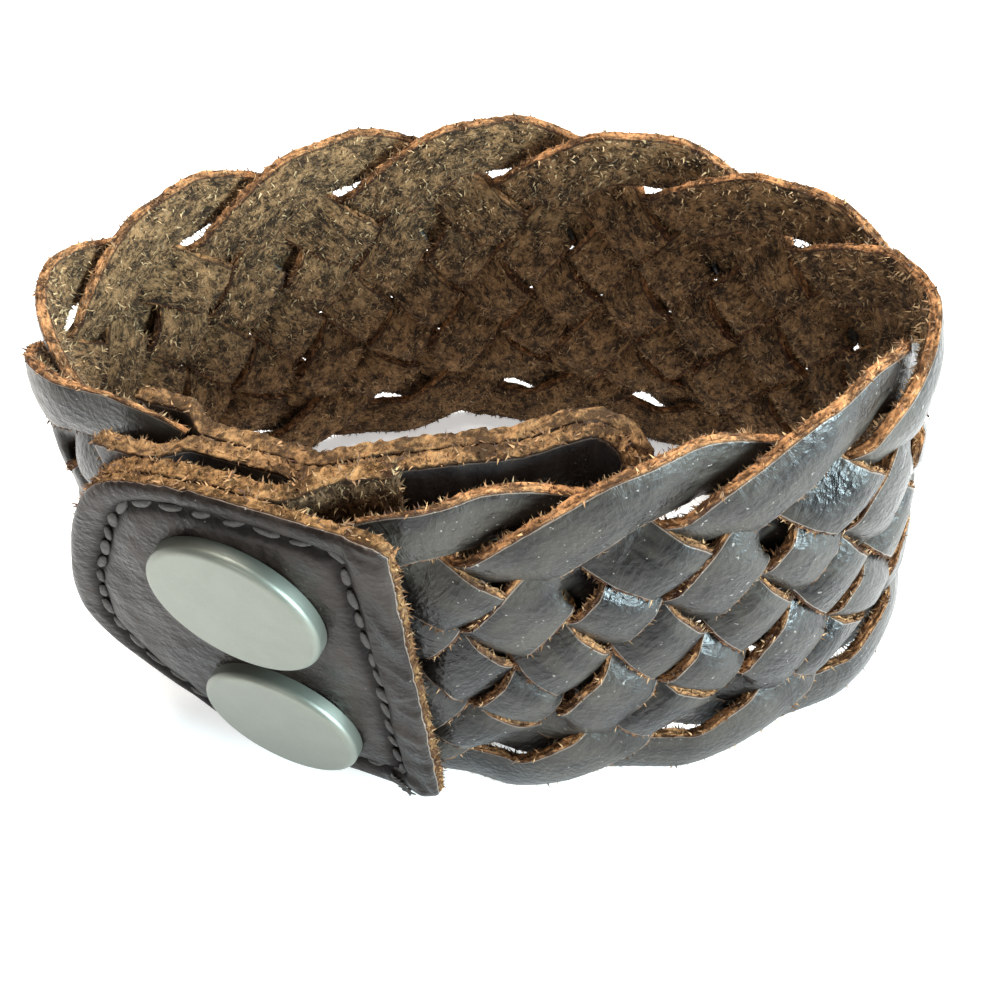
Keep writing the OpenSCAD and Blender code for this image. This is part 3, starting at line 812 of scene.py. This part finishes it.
corner = [(TONGUE_CORNER * math.sin(t), TONGUE_CORNER * (1 - math.cos(t)))
          for t in np.linspace(0, math.pi / 2, 9)]
rounded_from = route_len - TONGUE_CORNER
outline = np.array(
    [(tongue_start, TONGUE_LOW)] + [(rounded_from + x, TONGUE_LOW + y) for x, y in corner]
    + [(rounded_from + x, TONGUE_HIGH - y) for x, y in corner[::-1]] + [(tongue_start, TONGUE_HIGH)]
)
tongue_layers = (
    ("tongue_front", "tongue_outer", "grain_leather"),
    ("tongue_back", "tongue_inner", "lining_leather"),
)
for layer, (name, node, slot) in enumerate(tongue_layers):
    sign = 1 - 2 * layer
    mesh, p, inset, depth = slab(name, outline, 0.35)
    cut = ease(1 - inset / 0.5)
    crumbs = lumps(p, 0.9, 23 + layer) * 0.13 + lumps(p, 0.5, 25 + layer) * 0.08
    q = p.copy()
    q[:, 1] += cut * crumbs * 1.3
    q[:, 0] += cut * crumbs * 0.6
    out = opened_by(q[:, 0]) + (LEATHER_T + q[:, 2] if layer == 0 else -q[:, 2])
    s = np.clip(q[:, 0], tongue_start - 1, route_len - 0.5)
    flat = on_route(s) + outward(s) * (sign * out)[:, None]
    end_way = on_route(route_len - 0.5) - on_route(route_len - 1.5)
    flat += np.maximum(q[:, 0] - route_len + 0.5, 0)[:, None] * end_way
    if layer == 1:
        mesh.flip_normals()
    leather_piece(name, mesh, np.column_stack([flat, q[:, 1]]) * MM, p, depth, cut,
                  tongue_leather, node)

s = np.arange(tongue_start + 1.6, route_len - 2.6, 0.5)
low, high = TONGUE_LOW + SEAM_INSET, TONGUE_HIGH - SEAM_INSET
rim = np.vstack([
    np.column_stack([s, np.full(len(s), low)]),
    [(route_len - 2.6, z) for z in np.arange(low + 0.5, high - 0.2, 0.5)],
    np.column_stack([s[::-1], np.full(len(s), high)]),
    [(tongue_start + 1.6, z) for z in np.arange(high - 0.5, low + 0.2, -0.5)],
])
lift = opened_by(rim[:, 0]) + LEATHER_T + 0.05
flat = on_route(rim[:, 0]) - outward(rim[:, 0]) * lift[:, None]
sew("tongue_stitches", np.column_stack([flat, rim[:, 1]]) * MM,
    np.column_stack([-outward(rim[:, 0]), np.zeros(len(rim))]), "lining_leather", Seed=8)


# Snaps
# Two pressed metal snaps with flat satin caps on the tab, their sockets behind it, and two pairs
# of studs on the tongue, each riveted through both layers by a post with a plate behind.
snap_metal, b = new_material("satin snap metal")
place = b.node("ShaderNodeTexCoord").out("Object")
fine = b.noise(place, 5200, 2)
wear_and_top_light_colours = b.noise(place, 420, 4, 0.6)
colour = b.mixed(wear_and_top_light_colours.between(0.35, 0.7), (0.165, 0.173, 0.146), (0.18, 0.19, 0.16))
rough = 0.42 + (fine - 0.5) * 0.12 + wear_and_top_light_colours * 0.06
bump = b.node("ShaderNodeBump", {}, {"Strength": 0.15, "Distance": 0.00005, "Height": fine})
b.finish(colour, rough, Metallic=0.75, Normal=bump)
for name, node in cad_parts.items():
    if any(word in name for word in ("cap_", "socket_", "stud_", "post_")):
        node.data.materials.clear()
        node.data.materials.append(snap_metal)


# Floor, light and camera
# A pale matt surface under soft studio light, seen from the photograph's place: above the front,
# a little to the right of the cuff's middle.
floor_mesh = bpy.data.meshes.new("floor")
floor_mesh.from_pydata([(-3, -3, 0), (3, -3, 0), (3, 3, 0), (-3, 3, 0)], [], [(0, 1, 2, 3)])
floor = bpy.data.objects.new("floor", floor_mesh)
bpy.context.scene.collection.objects.link(floor)
pale_floor, b = new_material("pale floor")
place = b.node("ShaderNodeTexCoord").out("Object")
colour = b.mixed(b.noise(place, 3, 3), (0.88, 0.88, 0.88), (0.92, 0.92, 0.92))
b.finish(colour, 0.8, Specular_IOR_Level=0.2, Emission_Color=(1, 1, 1, 1), Emission_Strength=0.45)
floor_mesh.materials.append(pale_floor)

world = bpy.data.worlds.new("studio")
world.use_nodes = True
sky = world.node_tree.nodes["Background"].inputs
sky["Color"].default_value = (0.94, 0.97, 0.93, 1)
sky["Strength"].default_value = 0.37
bpy.context.scene.world = world


def soft_light(name, place, size, power, colour):
    """A studio panel of a size at a place, turned to the cuff's foot."""
    lamp = bpy.data.lights.new(name, "AREA")
    lamp.shape = "RECTANGLE"
    lamp.size, lamp.size_y = size
    lamp.energy = power
    lamp.color = colour
    light = bpy.data.objects.new(name, lamp)
    light.location = place
    light.rotation_euler = (-Vector(place)).to_track_quat("-Z", "Y").to_euler()
    bpy.context.scene.collection.objects.link(light)


soft_light("overhead", (0.05, 0.15, 0.6), (0.4, 0.3), 8.0, (1.0, 0.96, 0.91))
soft_light("right", (0.48, -0.3, 0.14), (0.18, 0.22), 10.0, (0.70, 0.92, 1.0))
soft_light("front", (-0.25, -0.5, 0.35), (0.2, 0.2), 0.8, (1.0, 0.95, 0.9))

PITCH, ROLL = math.radians(50.19), math.radians(-5.06)
ahead = Vector((0, math.cos(PITCH), -math.sin(PITCH)))
level = Vector((1, 0, 0))
upright = level.cross(ahead)
right = level * math.cos(ROLL) + upright * math.sin(ROLL)
up = upright * math.cos(ROLL) - level * math.sin(ROLL)
lens = bpy.data.cameras.new("camera")
lens.sensor_width = 36
lens.lens = 39.6
lens.clip_start = 0.005
camera = bpy.data.objects.new("camera", lens)
turned = Matrix((right, up, -ahead)).transposed().to_4x4()
spot = Vector((1.187 - FOOTPRINT_MID[0], -73.286 - FOOTPRINT_MID[1], 97.365)) * MM
camera.matrix_world = Matrix.Translation(spot) @ turned
bpy.context.scene.collection.objects.link(camera)
bpy.context.scene.camera = camera
bpy.context.scene.view_settings.view_transform = "Standard"
